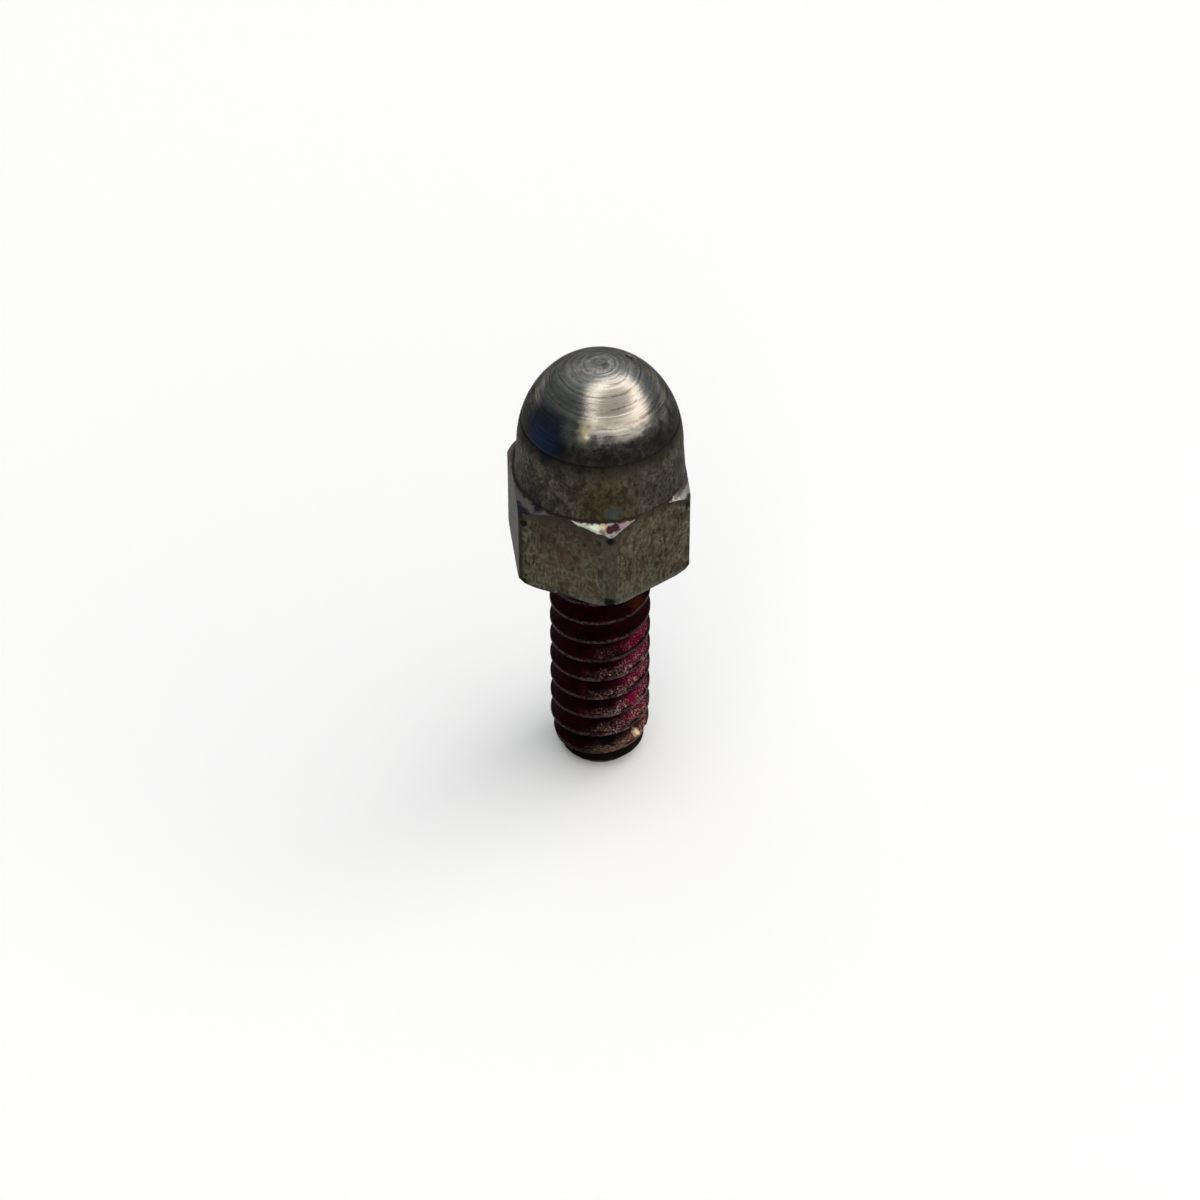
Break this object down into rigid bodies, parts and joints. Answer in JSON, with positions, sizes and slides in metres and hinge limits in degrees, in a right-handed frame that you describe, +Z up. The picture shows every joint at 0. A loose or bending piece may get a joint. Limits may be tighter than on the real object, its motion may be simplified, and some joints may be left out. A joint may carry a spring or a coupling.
{
  "type": "footrest bolt",
  "caption": "Dome-nosed footrest bolt: a turned dome and shoulder above a hexagonal collar, with a coarse-threaded stud below.",
  "frame": {"origin": "centre of the stud's flat end face, on which the bolt stands", "axes": "+Z up along the bolt's axis towards the nose; two corners of the hexagon lie on the Y axis"},
  "size_m": [0.01, 0.0114, 0.0295],
  "materials": {
    "plated_steel": "dulled plated steel, with a bright turned dome and dried red thread-locker in the thread"
  },
  "bodies": {
    "root": {"footrest_bolt": "plated_steel"}
  },
  "joints": []
}
